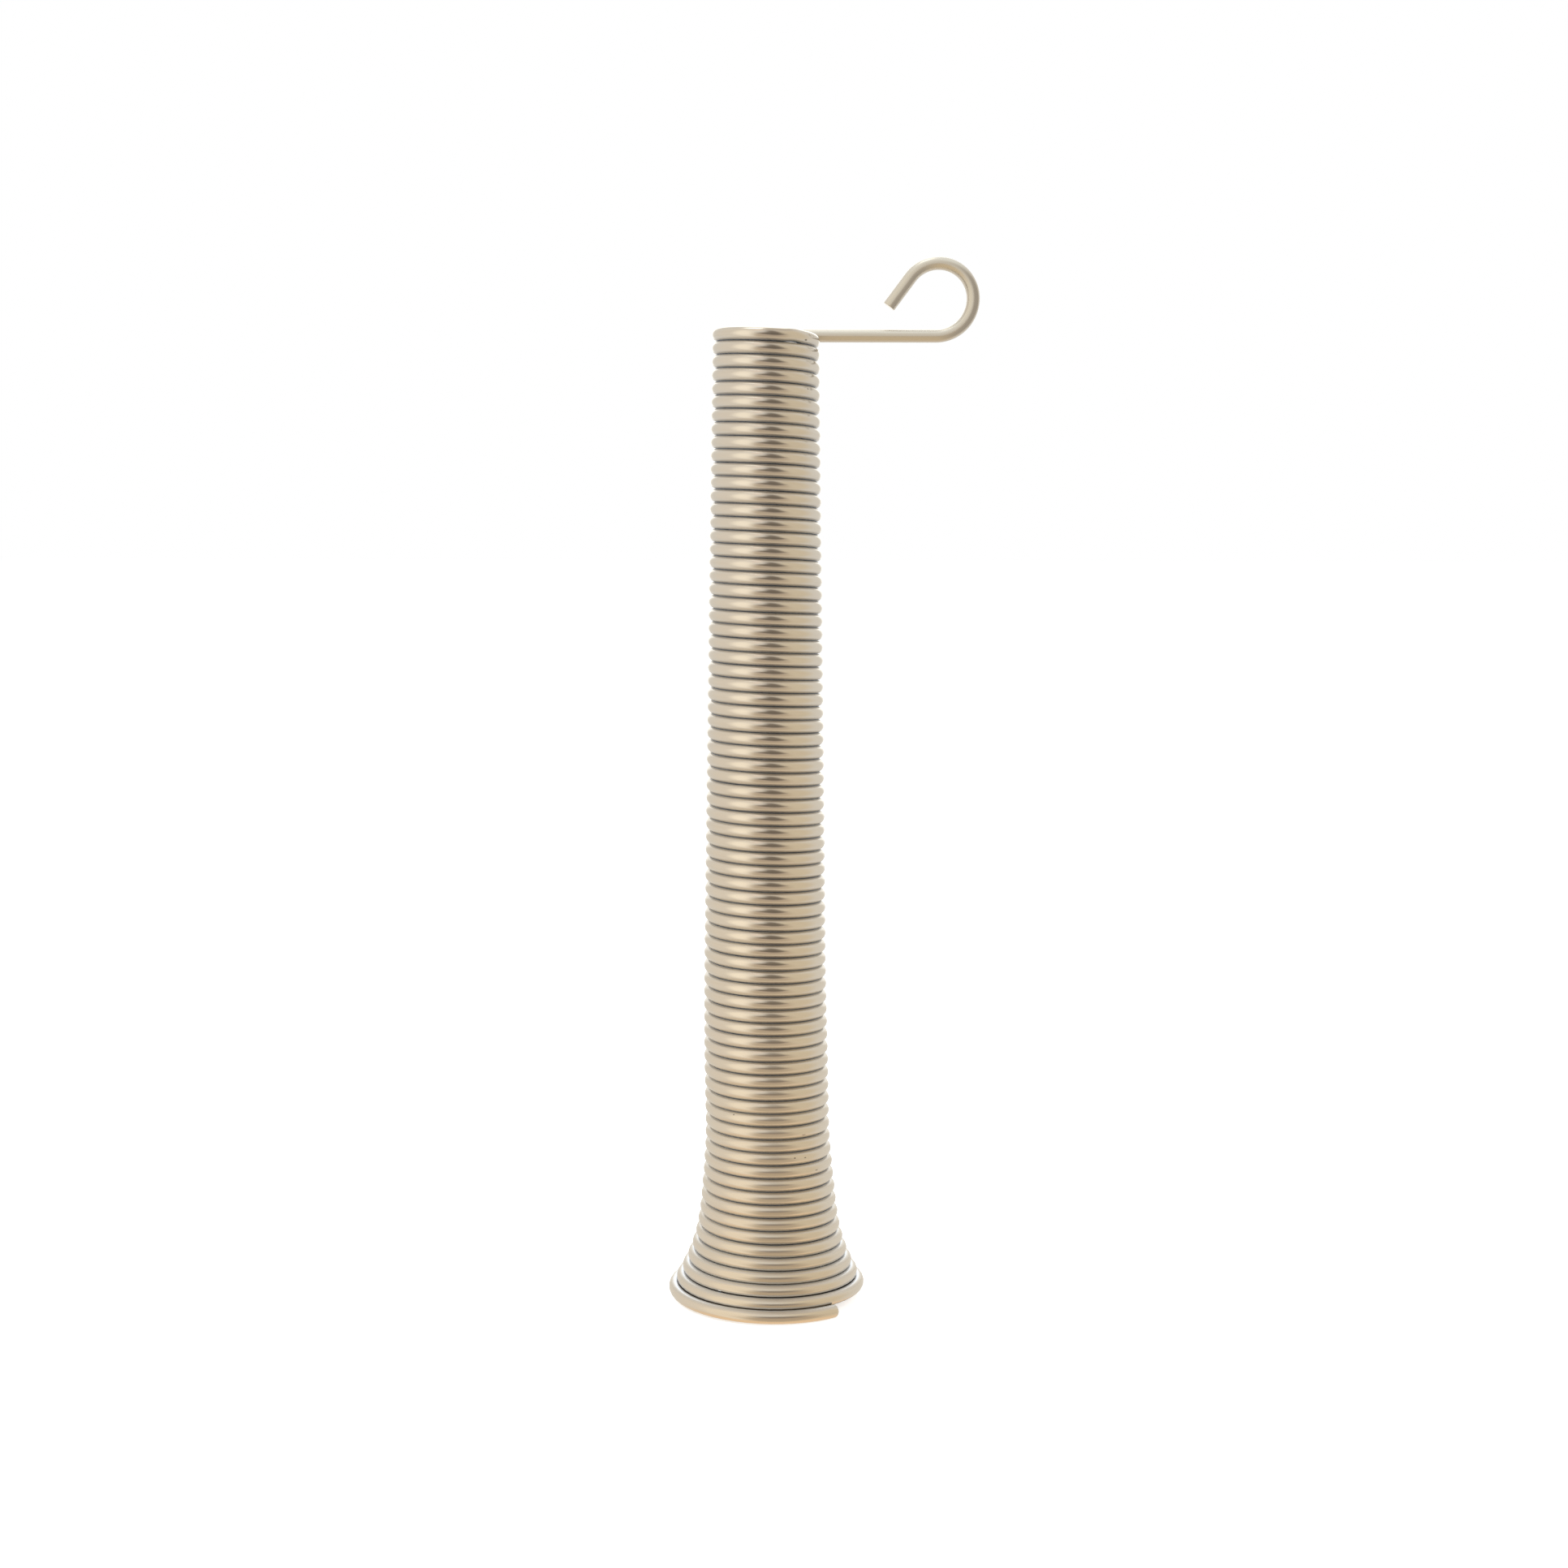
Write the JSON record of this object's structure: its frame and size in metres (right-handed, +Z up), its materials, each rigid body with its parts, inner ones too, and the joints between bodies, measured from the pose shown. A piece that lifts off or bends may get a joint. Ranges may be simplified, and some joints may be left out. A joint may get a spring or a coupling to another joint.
{
  "type": "strain relief spring",
  "caption": "Close-wound tapered coil of round wire with a flared mouth, a straight side leg and an open hook; guards a cord against sharp bends.",
  "frame": {"origin": "the coil's axis, on the plane of the flared mouth that it stands on", "axes": "+Z up the coil's axis towards the leg, +X along the leg, which leaves the back of the top turn, +Y to the back"},
  "size_m": [0.0369, 0.0237, 0.1232],
  "materials": {
    "wire": "bright nickel-plated spring wire, polished, with a warm cream tint and faint drawing marks"
  },
  "bodies": {
    "root": {"spring": "wire"}
  },
  "joints": []
}
